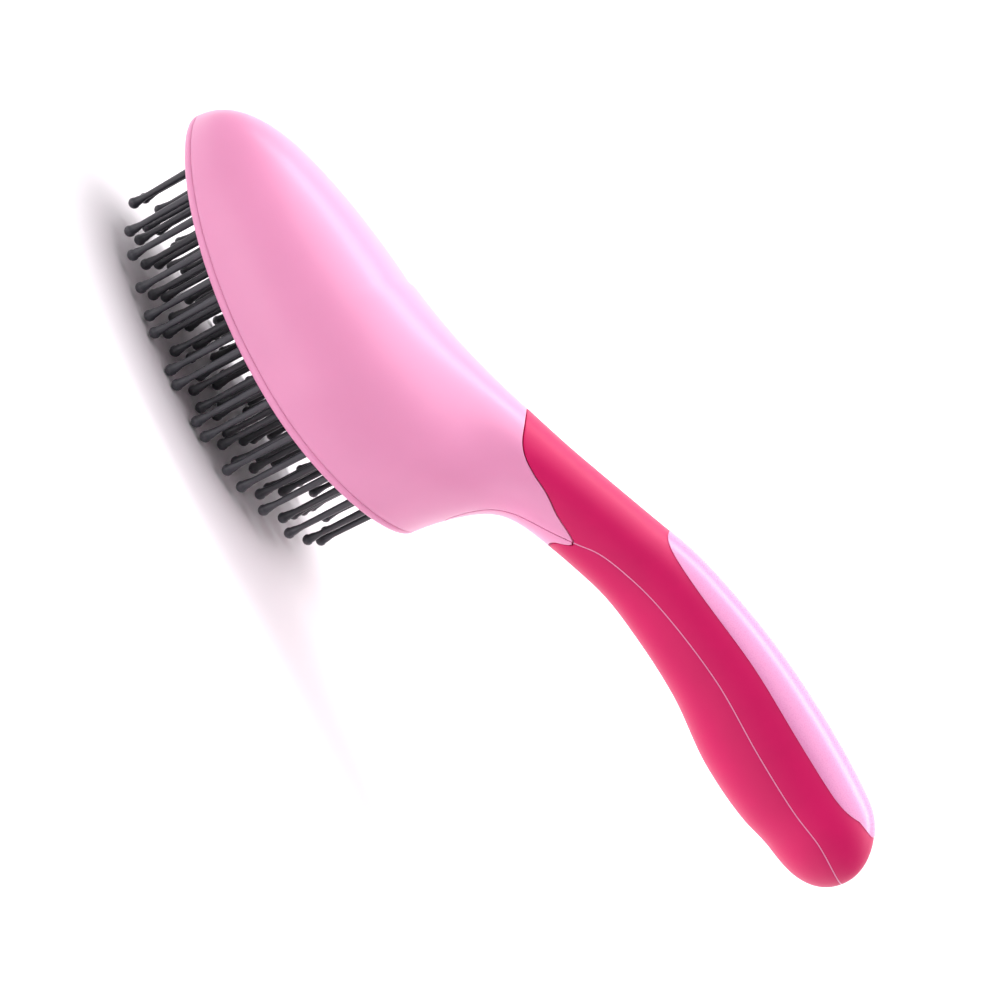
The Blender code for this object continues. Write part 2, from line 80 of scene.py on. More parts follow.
PIN_PITCH = 0.0078
STAGGER = 0.0015           # every other pin of a row stands up to this far forward, the rest back
PIN_EDGE = 0.0064          # end pins stay this far inside the head's outline
ROW_CENTRES = (-0.1098, -0.0128)
ROW_ENDS = (-0.1000, -0.0178)
RAIL_HALF_WIDTH = 0.0015
RAIL_THICKNESS = 0.0014
RAIL_OVERHANG = 0.0015
RAIL_GAP = 0.0008
PIN_FOOT = 0.6             # share of the rail's thickness that a pin starts at
PIN_TAPER = 0.0028         # length over which the ball narrows to the neck
BALL_TURN = math.radians(125)
COLLAR_SPREAD = 0.0016     # radius of the pad's swelling round a pin
PAD_EDGE = 0.0003
RIB_DEPTH = 0.00012        # the rib in the rim's seam lies this far under the skin
RIB_WALL = 0.0015
RIB_EDGE = 0.00002
RIB_INSET = 0.12           # share of the seam left free on each side of a rib
RIM_RIB_END = 0.995        # station where the rim's ribs end
RIB_TRIM = 0.02            # stations between the grip's ribs and the handle's end
CORE_LEAD = 0.04           # the core steps down this many stations before the grip's edge
GRIP_LEAD = 0.02           # the grip starts this many stations behind that edge

# ---------------------------------------------------------------- working accuracy
WELD = 4e-6                # grid points closer than this become one
PIN_WELD = 1e-6            # the same for the much smaller faces of the pins
SLOPE_STEP = 1e-5
RAY_REACH = 0.075          # no surface is further than this from its section's centre
RAY_HALVINGS = 22
CLOSING_HALVINGS = 24
PARTING_HALVINGS = 20

# handle stations: x, centre z, half height, half width
HANDLE = np.array([
    (-0.060, 0.0358, 0.0080, 0.0100),
    (-0.040, 0.0438, 0.0098, 0.0115),
    (-0.020, 0.0524, 0.0114, 0.0122),
    (0.000, 0.0604, 0.0120, 0.0122),
    (0.020, 0.0692, 0.0119, 0.0120),
    (0.030, 0.0733, 0.0122, 0.0121),
    (0.045, 0.0770, 0.0130, 0.0126),
    (0.060, 0.0794, 0.0139, 0.0133),
    (0.080, 0.0805, 0.0154, 0.0141),
    (0.095, 0.0820, 0.0148, 0.0138),
    (0.1045, 0.0833, 0.0134, 0.0128),
    (0.120, 0.0822, 0.0125, 0.0120),
])

# section planes behind the head: station, lower x and z, upper x and z
PLANES = np.array([
    (1, -0.0040, 0.0240, -0.0280, 0.0620),
    (2, -0.0036, 0.0308, -0.0240, 0.0636),
    (3, -0.0025, 0.0379, -0.0195, 0.0653),
    (4, -0.0001, 0.0445, -0.0135, 0.0678),
    (5, 0.0043, 0.0501, -0.0070, 0.0704),
    (6, 0.0109, 0.0542, 0.0010, 0.0738),
    (7, 0.0190, 0.0575, 0.0095, 0.0770),
    (8, 0.0272, 0.0603, 0.0180, 0.0805),
    (9, 0.0428, 0.0638, 0.0360, 0.0876),
    (10, 0.0597, 0.0655, 0.0555, 0.0923),
    (11, 0.0799, 0.0652, 0.0782, 0.0957),
    (12, 0.0948, 0.0672, 0.0945, 0.0967),
    (13, 0.1045, 0.0700, 0.1045, 0.0967),
])
CAP_STATION = 13
END_STATION = 14
HEEL_TURN = 0.85           # the front of the head is stretched round the heel from here
LEAN_BACK = 0.024          # the sections' tops lean back this far at the heel
LEAN_TOP = 0.062           # height of the leaning sections' top at the heel
CENTRE_HEAD = 0.35         # share of a section's height that its centre lies at
CENTRE_GAIN = 0.2
CENTRE_REAR = 0.45
TONGUE_STATION = 2.5       # lowest point of the lower half's tongue on the heel
TONGUE_GAP = 0.045
TONGUE_OPENING = 10        # the seam opens fully within a tenth of a station

# height of the parting line in the handle's section: station, share of the height
PARTING = np.array([
    (2.5, 0.00), (2.6, 0.02), (3.0, 0.045), (3.6, 0.07), (5.0, 0.125), (6.0, 0.19),
    (6.8, 0.28), (7.4, 0.36), (8.5, 0.42), (10.0, 0.45), (13.0, 0.45), (14.0, 0.48),
])

# front edge of the soft grip: place round the section, station
GRIP_EDGE = np.array([
    (0.00, 3.10), (0.20, 3.45), (0.41, 4.00), (0.57, 4.85), (0.65, 5.35),
    (0.80, 6.02), (0.93, 6.60), (1.00, 6.82), (1.22, 6.45), (1.60, 6.35), (2.00, 6.50),
])
INLAY_START = 8.35
INLAY_END = 13.30
INLAY_SPREAD = 0.58        # share of the way from the back to the parting line
INLAY_ROUNDNESS = 4.0

CAMERA_PLACE = (-0.0112, -0.3179, 0.1126)
CAMERA_FORWARD = (0.02985, 0.98255, -0.18361)
CAMERA_ROLL = math.radians(63.52)
CAMERA_LENS = 46.95        # mm, on a sensor 36 mm wide
WORLD_STRENGTH = 0.30
WORLD_COLOUR = "#FAFAFC"
FLOOR_HALF_WIDTH = 4
BACKDROP_START = 1.2       # the floor starts to curve up here
BACKDROP_RADIUS = 1.2

# soft lights: name, place, aim, size, power in watts, colour
LIGHTS = (
    ("top_softbox", (0.0, 0.15, 1.15), (0, 0.1, 0.05), (2.2, 1.5), 23, "#FFFAFF"),
    ("low_fill", (-0.30, -0.50, 0.03), (-0.05, 0, 0.03), (0.5, 0.1), 0.45, "#FFFFFF"),
    ("backdrop_wash", (0.0, 0.9, 1.9), (0.0, 1.9, 0.4), (6.0, 0.8), 90, "#FFFFFF"),
)


def linear(code):
    """Linear colour of an sRGB hex code."""
    parts = [int(code[i:i + 2], 16) / 255 for i in (1, 3, 5)]
    return tuple(c / 12.92 if c <= 0.04045 else ((c + 0.055) / 1.055) ** 2.4 for c in parts)


# ---------------------------------------------------------------- properties
def length(name, description, default):
    """A length property in metres."""
    return bpy.props.FloatProperty(name=name, description=description, default=default,
                                   min=0.0, precision=5, unit="LENGTH")


def colour(name, description, code):
    """A colour property from an sRGB hex code."""
    return bpy.props.FloatVectorProperty(name=name, description=description, default=linear(code),
                                         size=3, min=0.0, max=1.0, subtype="COLOR")


class BrushSizes(bpy.types.PropertyGroup):
    """Sizes of the brush's visible pieces."""

    wall: length("Shell wall", "Thickness of the moulded shell", 0.0020)
    shell_edge: length("Shell edge", "Radius along the shell's parting lines", 0.00022)
    grip_wall: length("Grip wall", "Thickness of the soft grip", 0.0018)
    grip_edge: length("Grip edge", "Radius along the soft grip's edges", 0.00012)
    inlay_wall: length("Inlay thickness", "Thickness of the plate on the grip's back", 0.0008)
    inlay_stand: length("Inlay stand", "How far the plate stands proud of the grip", 0.00018)
    rim_width: length("Rim width", "Width of the rim's lower face", 0.0045)
    rim_radius: length("Rim radius", "Radius of the rim's lower edges", 0.0011)
    pad_wall: length("Pad thickness", "Thickness of the rubber pad", 0.0020)
    pad_crown: length("Pad crown", "How far the pad bulges", 0.0025)
    pad_inset: length("Pad inset", "Distance of the pad's edge from the head's outline", 0.0025)
    collar: length("Pin collar", "Height of the rubber swelling round each pin", 0.00045)
    pin_reach: length("Pin reach", "Distance of the pin tips below the rim", 0.0205)
    pin_root: length("Pin root radius", "Radius of a pin where it leaves the pad", 0.00105)
    pin_neck: length("Pin neck radius", "Radius of a pin just behind its ball", 0.00076)
    pin_ball: length("Pin ball radius", "Radius of a pin's ball tip", 0.00140)
    pin_sides: bpy.props.IntProperty(name="Pin sides", description="Faces round each pin",
                                     default=16, min=8)


class BrushColours(bpy.types.PropertyGroup):
    """Colours of the brush's materials and of the stage."""

    shell: colour("Shell", "Light pink moulded plastic", "#EC98C0")
    grip: colour("Grip", "Magenta soft rubber", "#D0105E")
    inlay: colour("Inlay", "Pink plate on the grip", "#E58FC0")
    pins: colour("Pins", "Dark nylon pins", "#3C3C42")
    pad: colour("Pad", "Dark rubber pad", "#26262A")
    floor: colour("Floor", "Pale studio floor", "#F2F1F2")


# ---------------------------------------------------------------- body surface
def curve(keys, at):
    """Smooth curve through the rows of keys, whose first column is the station."""
    stations = keys[:, 0]
    slopes = np.gradient(keys[:, 1:], stations, axis=0)
    at = np.clip(at, stations[0], stations[-1])
    i = np.clip(np.searchsorted(stations, at, side="right") - 1, 0, len(stations) - 2)
    span = (stations[i + 1] - stations[i])[..., None]
    t = (at - stations[i])[..., None] / span
    start = (1 + 2 * t) * (1 - t) ** 2 * keys[i, 1:] + t * (1 - t) ** 2 * span * slopes[i]
    end = t * t * (3 - 2 * t) * keys[i + 1, 1:] - t * t * (1 - t) * span * slopes[i + 1]
    return start + end


def rim_height(x):
    """Height of the rim's lower face, an arc that sags between the head's ends."""
    middle = (HEEL_X - HALF_LENGTH) / 2
    half = (HEEL_X + HALF_LENGTH) / 2
    return RIM_END_Z - RIM_SAG * (1 - ((x - middle) / half) ** 2)


def head_reach(x):
    """Length of the half ellipse in plan that station x belongs to."""
    return np.where(x < WIDE_X, HALF_LENGTH + WIDE_X, HEEL_X - WIDE_X)


def head_value(p):
    """Below zero inside the head, an egg in plan with a full domed section."""
    rise = np.maximum(p[..., 2] - rim_height(p[..., 0]), 0)
    stand = np.where(p[..., 0] > WIDE_X, HEEL_STAND * (rise / HEAD_DEPTH) ** 2, 0)
    along = (p[..., 0] - WIDE_X) / (head_reach(p[..., 0]) + stand)
    section = (np.abs(p[..., 1]) / HEAD_HALF_WIDTH) ** HEAD_POWER
    section = section + (rise / HEAD_DEPTH) ** HEAD_POWER
    return along ** 2 + np.maximum(section, 1e-12) ** (2 / HEAD_POWER) - 1


def handle_value(p):
    """Below zero inside the handle and its root in the head."""
    x = p[..., 0]
    centre, half_height, half_width = np.moveaxis(curve(HANDLE, x), -1, 0)
    end = np.maximum(x - CAP_X, 0) / (HALF_LENGTH - CAP_X)
    nose = np.maximum(NOSE_X - x, 0) / NOSE_LENGTH
    section = (np.abs(p[..., 1]) / half_width) ** HANDLE_POWER
    section = section + (np.abs(p[..., 2] - centre) / half_height) ** HANDLE_POWER
    return end ** 2 + nose ** 2 + np.maximum(section, 1e-12) ** (2 / HANDLE_POWER) - 1


def distance(value, p):
    """First-order distance to the surface where value is zero."""
    steps = np.eye(3) * SLOPE_STEP
    slopes = [(value(p + d) - value(p - d)) / (2 * SLOPE_STEP) for d in steps]
    return value(p) / np.maximum(np.sqrt(sum(s * s for s in slopes)), 1e-3)


def body_distance(p):
    """Distance to the whole body: head and handle joined by a fillet."""
    head = distance(head_value, p)
    handle = distance(handle_value, p)
    overlap = np.maximum(BLEND - np.abs(head - handle), 0) / BLEND
    return np.minimum(head, handle) - overlap ** 2 * BLEND / 4


def section_plane(station, depth):
    """Centre of a cross-section and its upward direction, for a surface depth below the skin."""
    head = station < 1
    s = np.clip(station, 0, 1)
    half = (HEEL_X + HALF_LENGTH) / 2
    shrink = np.where(s < 0.5, depth + TIP_TRIM, 0)
    low_x = (HEEL_X - HALF_LENGTH) / 2 - (half - shrink) * np.cos(math.pi * s)
    along = (low_x - WIDE_X) / head_reach(low_x)
    top_z = rim_height(low_x) + HEAD_DEPTH * np.sqrt(np.maximum(1 - along ** 2, 0))
    lean = np.where(s > 0.5, np.maximum(-np.cos(math.pi * s), 0) ** 1.5, 0)
    low = np.stack([low_x, rim_height(low_x)], -1)
    top_z = np.where(s > 0.5, top_z + (LEAN_TOP - top_z) * lean, top_z)
    top = np.stack([low_x - LEAN_BACK * lean, top_z], -1)
    rear = curve(PLANES, station)
    low = np.where(head[..., None], low, rear[..., :2])
    top = np.where(head[..., None], top, rear[..., 2:])
    share = np.where(head, CENTRE_HEAD + CENTRE_GAIN * (s - 0.5), CENTRE_REAR)
    share = np.where(station < 0.5, CENTRE_HEAD, share)
    centre = low + share[..., None] * (top - low)
    lift = rim_height(low_x) + PARTING_RISE + GAP
    centre[..., 1] = np.where(station < 0.5, np.maximum(centre[..., 1], lift), centre[..., 1])
    up = (top - low) / np.maximum(np.linalg.norm(top - low, axis=-1), 1e-6)[..., None]
    up = np.where((station < 0.5)[..., None], [0.0, 1.0], up)
    cap = np.clip(station - CAP_STATION, 0, 1)
    cap_x = CAP_X + (HALF_LENGTH - CAP_X - depth) * np.sin(cap * math.pi / 2)
    cap_z = centre[..., 1] + cap * (curve(HANDLE, cap_x)[..., 0] - centre[..., 1])
    capped = np.stack([cap_x, cap_z], -1)
    ending = (station > CAP_STATION)[..., None]
    return np.where(ending, capped, centre), np.where(ending, [0.0, 1.0], up)


def on_ring(station, angle, depth):
    """Point of the surface at an angle from the section's upward direction."""
    centre, up = section_plane(station, depth)
    origin = np.stack([centre[..., 0], 0 * station, centre[..., 1]], -1)
    ray = np.stack([up[..., 0] * np.cos(angle), np.sin(angle), up[..., 1] * np.cos(angle)], -1)
    near = np.zeros(ray.shape[:-1])
    far = np.full(ray.shape[:-1], RAY_REACH)
    for _ in range(RAY_HALVINGS):
        middle = (near + far) / 2
        inside = body_distance(origin + ray * middle[..., None]) < -depth
        near = np.where(inside, middle, near)
        far = np.where(inside, far, middle)
    return origin + ray * near[..., None]


@functools.lru_cache(maxsize=None)
def closing_station():
    """Station where the head's parting line meets itself at the middle of the heel."""
    low, high = 0.8, 1.6
    for _ in range(CLOSING_HALVINGS):
        middle = np.array((low + high) / 2)
        point = on_ring(middle, np.array(math.pi), 0.0)
        if point[2] - rim_height(point[0]) < PARTING_RISE + GAP / 2:
            low = float(middle)
        else:
            high = float(middle)
    return (low + high) / 2


@functools.lru_cache(maxsize=None)
def parting_table(depth, shift):
    """Stations, and the angle at which each section crosses the parting line."""
    head = np.linspace(0, TONGUE_STATION, 180)
    tongue = TONGUE_STATION + 0.5 * np.linspace(0, 1, 120) ** 2
    station = np.unique(np.concatenate([head, tongue, np.linspace(3, END_STATION, 200)]))
    low, high = np.zeros(station.shape), np.full(station.shape, math.pi)
    up = section_plane(station, depth)[1]
    bottom = on_ring(station, high, depth)
    top = on_ring(station, low, depth)
    opening = np.clip((station - TONGUE_STATION) * TONGUE_OPENING, 0, 1)

    def height(p, q):
        return (p[..., 0] - q[..., 0]) * up[..., 0] + (p[..., 2] - q[..., 2]) * up[..., 1]

    target = curve(PARTING, station)[..., 0] * height(top, bottom) + shift * opening
    for _ in range(PARTING_HALVINGS):
        middle = (low + high) / 2
        point = on_ring(station, middle, depth)
        over_rim = point[..., 2] - rim_height(point[..., 0]) - PARTING_RISE - shift
        over_line = height(point, bottom) - target
        above = np.where(station < TONGUE_STATION, over_rim, over_line) > 0
        low = np.where(above, middle, low)
        high = np.where(above, high, middle)
    return station, np.where(low > math.pi - 2e-3, math.pi, low)


def skin(station, place, depth, shift):
    """Surface points; place is 0 on the back, 1 on the parting line and 2 on the front."""
    station = station + 0 * place
    side = np.sign(place)
    place = np.abs(place) + 0 * station
    closing = closing_station()
    rear = closing + (station - 1) * (TONGUE_STATION - closing) / (TONGUE_STATION - 1)
    rear = np.where(station < TONGUE_STATION, rear, station)
    turning = HEEL_TURN + (station - HEEL_TURN) * (closing - HEEL_TURN) / (1 - HEEL_TURN)
    front = np.where(station < HEEL_TURN, station, turning)
    station = np.where(station < 1, front, rear)
    line = np.interp(station, *parting_table(depth, shift))
    closed_end = TONGUE_STATION + (TONGUE_GAP if shift < 0 else 0)
    line = np.where((station >= closing - 1e-9) & (station <= closed_end + 1e-9), math.pi, line)
    angle = np.where(place <= 1, place * line, line + (place - 1) * (math.pi - line))
    points = on_ring(station, angle, depth)
    points[..., 1] = np.where((angle > math.pi - 1e-9) | (angle < 1e-9), 0, side * points[..., 1])
    points[..., 2] += DATUM
    return points


def grip_front_edge(place):
    """Station of the soft grip's front edge at each place round the section."""
    return curve(GRIP_EDGE, np.abs(place))[..., 0]


def around_front(count):
    """Places from one parting line over the front to the other parting line."""
    around = np.linspace(1, 3, count)
    return np.where(around > 2, around - 4, around)


# ---------------------------------------------------------------- mesh helpers
def sheet_mesh(points, turn_outwards=True):
    """Grid moved onto an array of points and welded where points meet.

    An open bowl or tube can be turned so that its faces look away from its middle.
    """
    rows, columns = points.shape[:2]
    bm = bmesh.new()
    bmesh.ops.create_grid(bm, x_segments=columns - 1, y_segments=rows - 1, size=1)
    for vert in bm.verts:
        column = round((vert.co.x + 1) / 2 * (columns - 1))
        row = round((vert.co.y + 1) / 2 * (rows - 1))
        vert.co = points[row, column]
    bmesh.ops.remove_doubles(bm, verts=bm.verts, dist=WELD)
    bmesh.ops.recalc_face_normals(bm, faces=bm.faces)
    middle = sum((v.co for v in bm.verts), Vector()) / len(bm.verts)
    facing = sum(f.calc_area() * f.normal.dot(f.calc_center_median() - middle) for f in bm.faces)
    if facing < 0 and turn_outwards:
        bmesh.ops.reverse_faces(bm, faces=bm.faces)
    return bm


def finish_piece(name, bm, material, nodes, body=BODY):
    """Turn a bmesh into a smooth object that rides on a body and stands for its nodes."""
    mesh = bpy.data.meshes.new(name)
    bm.to_mesh(mesh)
    bm.free()
    if not mesh.polygons:
        raise RuntimeError(name + " has no faces")
    mesh.shade_smooth()
    mesh.materials.append(material)
    piece = bpy.data.objects.new(name, mesh)
    bpy.context.scene.collection.objects.link(piece)
    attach(piece, body)
    if nodes:
        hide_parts(*nodes)
    return piece


def thicken(piece, thickness, edge):
    """Give a sheet its wall, inwards from its outer face, and soften its edges."""
    wall = piece.modifiers.new("Wall", "SOLIDIFY")
    wall.thickness = thickness
    wall.offset = -1
    soften = piece.modifiers.new("Edges", "BEVEL")
    soften.width = edge
    soften.segments = 3
    soften.limit_method = "ANGLE"
    soften.angle_limit = math.radians(50)
    soften.use_clamp_overlap = True


# ---------------------------------------------------------------- materials
def add_node(tree, kind, links=None, **values):
    """Add a shader node, set its plain values and link its inputs."""
    node = tree.nodes.new(kind)
    for key, value in values.items():
        if key in node.inputs.keys():
            node.inputs[key].default_value = value
        else:
            setattr(node, key, value)
    for key, source in (links or {}).items():
        tree.links.new(source, node.inputs[key])
    return node


def material_start(name):
    """New node material: its tree, its shader and its object coordinates."""
    material = bpy.data.materials.new(name)
    material.use_nodes = True
    tree = material.node_tree
    shader = tree.nodes["Principled BSDF"]
    place = add_node(tree, "ShaderNodeTexCoord").outputs["Object"]
    return material, tree, shader, place


def shade_range(tree, factor, base, low, high):
    """Ramp from a darker to a lighter shade of one colour."""
    ramp = add_node(tree, "ShaderNodeValToRGB", {"Fac": factor})
    ramp.color_ramp.elements[0].color = (*[c * low for c in base], 1)
    ramp.color_ramp.elements[1].color = (*[min(c * high, 1.0) for c in base], 1)
    ramp.color_ramp.elements[0].position = 0.3
    ramp.color_ramp.elements[1].position = 0.7
    return ramp.outputs["Color"]


def roughness_range(tree, factor, low, high):
    """Map a factor onto a range of roughness."""
    spread = add_node(tree, "ShaderNodeMapRange", {"Value": factor})
    spread.inputs["To Min"].default_value = low
    spread.inputs["To Max"].default_value = high
    return spread.outputs["Result"]


def grain(tree, place, size, detail=2.0, stretch=(1, 1, 1)):
    """Noise whose features are about one size across, in metres."""
    mapping = add_node(tree, "ShaderNodeMapping", {"Vector": place})
    mapping.inputs["Scale"].default_value = stretch
    noise = add_node(tree, "ShaderNodeTexNoise", {"Vector": mapping.outputs["Vector"]})
    noise.inputs["Scale"].default_value = 1 / size
    noise.inputs["Detail"].default_value = detail
    return noise.outputs["Fac"]


def moulded_plastic(name, base, rough, flow=0.03, texture=0.00022, relief=0.000006):
    """Injection-moulded plastic: faint flow shading and a fine satin tool texture."""
    material, tree, shader, place = material_start(name)
    broad = grain(tree, place, flow, 3.0)
    fine = grain(tree, place, texture, 2.0)
    tree.links.new(shade_range(tree, broad, base, 0.97, 1.03), shader.inputs["Base Color"])
    satin = roughness_range(tree, fine, rough - 0.05, rough + 0.05)
    tree.links.new(satin, shader.inputs["Roughness"])
    bump = add_node(tree, "ShaderNodeBump", {"Height": fine})
    bump.inputs["Distance"].default_value = relief
    tree.links.new(bump.outputs["Normal"], shader.inputs["Normal"])
    shader.inputs["IOR"].default_value = 1.53
    shader.inputs["Subsurface Weight"].default_value = 0.12
    shader.inputs["Subsurface Radius"].default_value = (0.9, 0.5, 0.6)
    shader.inputs["Subsurface Scale"].default_value = 0.0025
    return material


def soft_rubber(name, base, rough):
    """Overmoulded thermoplastic rubber: matte, with a fine spark-eroded grain and a soft sheen."""
    material, tree, shader, place = material_start(name)
    broad = grain(tree, place, 0.018, 3.0)
    fine = grain(tree, place, 0.00028, 3.0)
    tree.links.new(shade_range(tree, broad, base, 0.95, 1.05), shader.inputs["Base Color"])
    matte = roughness_range(tree, fine, rough - 0.07, rough + 0.07)
    tree.links.new(matte, shader.inputs["Roughness"])
    bump = add_node(tree, "ShaderNodeBump", {"Height": fine})
    bump.inputs["Distance"].default_value = 0.000018
    tree.links.new(bump.outputs["Normal"], shader.inputs["Normal"])
    shader.inputs["IOR"].default_value = 1.48
    shader.inputs["Specular IOR Level"].default_value = 0.28
    shader.inputs["Sheen Weight"].default_value = 0.02
    shader.inputs["Sheen Roughness"].default_value = 0.5
    return material


def moulded_nylon(name, base):
    """Moulded nylon: semi-gloss, with faint flow streaks along the pins."""
    material, tree, shader, place = material_start(name)
    streak = grain(tree, place, 0.0006, 3.0, (1, 1, 0.08))
    fine = grain(tree, place, 0.00012, 2.0)
    tree.links.new(shade_range(tree, streak, base, 0.8, 1.25), shader.inputs["Base Color"])
    tree.links.new(roughness_range(tree, fine, 0.26, 0.38), shader.inputs["Roughness"])
    bump = add_node(tree, "ShaderNodeBump", {"Height": streak})
    bump.inputs["Distance"].default_value = 0.00002
    tree.links.new(bump.outputs["Normal"], shader.inputs["Normal"])
    shader.inputs["IOR"].default_value = 1.53
    return material


def painted_floor(name, base):
    """Matte painted studio floor with a barely visible roller texture."""
    material, tree, shader, place = material_start(name)
    fine = grain(tree, place, 0.0012, 2.0)
    broad = grain(tree, place, 0.35, 2.0)
    tree.links.new(shade_range(tree, broad, base, 0.995, 1.005), shader.inputs["Base Color"])
    tree.links.new(roughness_range(tree, fine, 0.75, 0.85), shader.inputs["Roughness"])
    bump = add_node(tree, "ShaderNodeBump", {"Height": fine})
    bump.inputs["Distance"].default_value = 0.00002
    tree.links.new(bump.outputs["Normal"], shader.inputs["Normal"])
    return material


def shared(name, make, *values):
    """The material of that name, made the first time that it is asked for."""
    return bpy.data.materials.get(name) or make(name, *values)


# ---------------------------------------------------------------- shells
def shell_core(around, start, edge, shift):
    """Rows of a handle half: plain up to the soft grip's edge, then set back under it."""
    fan = np.linspace(0, 1, 44)[1:, None] ** 1.4
    plain = skin(start + fan * (edge - start), around[None, :], 0.0, shift)
    rear = np.linspace(0, 1, 60)[:, None]
    core = skin(edge + rear * (END_STATION - edge), around[None, :], CORE_DEPTH, shift)
    return np.concatenate([plain, core])


def build_shells(sizes, colours):
    """Back shell of the head and handle, and the lower handle shell with its tongue."""
    plastic = shared("abs_satin_moulded", moulded_plastic, tuple(colours.shell), 0.34)
    around = np.linspace(-1, 1, 105)
    head = np.concatenate([np.linspace(0, 0.85, 76), np.linspace(0.85, 1, 16)[1:],
                           np.linspace(1, TONGUE_STATION, 34)[1:]])
    rows = skin(head[:, None], around[None, :], 0.0, GAP / 2)
    handle = shell_core(around, TONGUE_STATION, grip_front_edge(around) - CORE_LEAD, GAP / 2)
    bm = sheet_mesh(np.concatenate([rows, handle]))
    back = finish_piece("back_shell_moulding", bm, plastic, ["back_shell"])
    thicken(back, sizes.wall, sizes.shell_edge)

    around = around_front(49)
    start = TONGUE_STATION + TONGUE_GAP
    pole = skin(np.full((1, 1), start), around[None, :], 0.0, -GAP / 2)
    handle = shell_core(around, start, grip_front_edge(around) - CORE_LEAD, -GAP / 2)
    bm = sheet_mesh(np.concatenate([pole, handle]))
    front = finish_piece("front_shell_moulding", bm, plastic, ["front_shell"])
    thicken(front, sizes.wall, sizes.shell_edge)


class BRUSH_OT_shells(bpy.types.Operator):
    """Build the two moulded shells"""

    bl_idname = "brush.shells"
    bl_label = "Shells"

    def execute(self, context):
        build_shells(context.scene.brush_sizes, context.scene.brush_colours)
        return {"FINISHED"}


# ---------------------------------------------------------------- soft grip
def grip_sheet(around, shift):
    """Soft grip skin from its front edge to the handle's end."""
    share = np.concatenate([np.linspace(0, 0.9, 104), np.linspace(0.9, 1, 34)[1:]])[:, None]
    edge = grip_front_edge(around)[None, :] + GRIP_LEAD
    return skin(edge + share * (END_STATION - edge), around[None, :], 0.0, shift)


def build_grips(sizes, colours):
    """Upper and lower soft grips, and the pink ribs at the rim and between the grips."""
    rubber = shared("tpe_soft_touch", soft_rubber, tuple(colours.grip), 0.46)
    plastic = shared("abs_satin_moulded", moulded_plastic, tuple(colours.shell), 0.34)
    bm = sheet_mesh(grip_sheet(np.linspace(-1, 1, 89), GAP / 2))
    back = finish_piece("grip_back_skin", bm, rubber, ["grip_back"])
    thicken(back, sizes.grip_wall, sizes.grip_edge)
    bm = sheet_mesh(grip_sheet(around_front(49), -GAP / 2))
    front = finish_piece("grip_front_skin", bm, rubber, ["grip_front"])
    thicken(front, sizes.grip_wall, sizes.grip_edge)
    grip_start = float(grip_front_edge(np.array(1.0)))
    runs = (("rim", 0.0, RIM_RIB_END, RIB_DEPTH),
            ("grip", grip_start, END_STATION - RIB_TRIM, 0.0))
    for side in (-1, 1):
        for part, start, stop, depth in runs:
            station = np.linspace(start, stop, 180)
            place = np.full(180, float(side))
            upper = skin(station, place, depth, GAP / 2)
            lower = skin(station, place, depth, -GAP / 2)
            across = lower - upper
            strip = np.stack([upper + RIB_INSET * across, upper + (1 - RIB_INSET) * across], 1)
            name = f"parting_rib_{part}_{'left' if side < 0 else 'right'}"
            rib = finish_piece(name, sheet_mesh(strip), plastic, [])
            thicken(rib, RIB_WALL, RIB_EDGE)


class BRUSH_OT_grips(bpy.types.Operator):
    """Build the soft grips and the ribs in the seams"""

    bl_idname = "brush.grips"
    bl_label = "Soft grips"

    def execute(self, context):
        build_grips(context.scene.brush_sizes, context.scene.brush_colours)
        return {"FINISHED"}


def build_inlay(sizes, colours):
    """Pink plate on the back of the grip, with a softened edge."""
    plastic = shared("abs_gloss_moulded", moulded_plastic, tuple(colours.inlay),
                     0.28, 0.02, 0.0003, 0.000004)
    turn = np.linspace(0, math.pi, 121)
    along = np.cos(turn)
    spread = INLAY_SPREAD * (1 - np.abs(along) ** INLAY_ROUNDNESS) ** (1 / INLAY_ROUNDNESS)
    station = (INLAY_START + INLAY_END) / 2 - (INLAY_END - INLAY_START) / 2 * along
    place = spread[:, None] * np.sin(np.linspace(-math.pi / 2, math.pi / 2, 41))[None, :]
    points = skin(station[:, None], place, 0.0, GAP / 2)
    below = skin(station[:, None], place, sizes.inlay_wall, GAP / 2)
    outward = points - below
    outward = outward / np.maximum(np.linalg.norm(outward, axis=-1), 1e-9)[..., None]
    bm = sheet_mesh(points + outward * sizes.inlay_stand)
    inlay = finish_piece("grip_inlay_plate", bm, plastic, ["grip_inlay"])
    thicken(inlay, sizes.inlay_wall, sizes.inlay_stand)


class BRUSH_OT_inlay(bpy.types.Operator):
    """Build the plate on the back of the grip"""

    bl_idname = "brush.inlay"
    bl_label = "Grip inlay"

    def execute(self, context):
        build_inlay(context.scene.brush_sizes, context.scene.brush_colours)
        return {"FINISHED"}


# ---------------------------------------------------------------- rim and pad
def outline(turn, inset):
    """Plan outline of the head, moved inwards along its normal."""
    x = WIDE_X - head_reach(WIDE_X - np.cos(turn)) * np.cos(turn)
    y = HEAD_HALF_WIDTH * np.sin(turn)
    reach = head_reach(x)
    normal = np.stack([(x - WIDE_X) / reach ** 2, y / HEAD_HALF_WIDTH ** 2], -1)
    normal = normal / np.linalg.norm(normal, axis=-1)[..., None]
    return np.stack([x, y], -1) - inset * normal


def rim_section(width, radius):
    """Closed section of the rim: inset from the outline and rise above the lower face."""
    top = PARTING_RISE - GAP / 2
    arc = np.linspace(0, math.pi / 2, 9)
    outer = [(radius * (1 - math.cos(a)), radius * (1 - math.sin(a))) for a in arc]
    inner = [(width - radius * (1 - math.sin(a)), radius * (1 - math.cos(a))) for a in arc]
    upper = [(width, top - 0.0001), (width - 0.0001, top), (0.0002, top), (0.0, top - 0.0002)]
    return outer + inner + upper


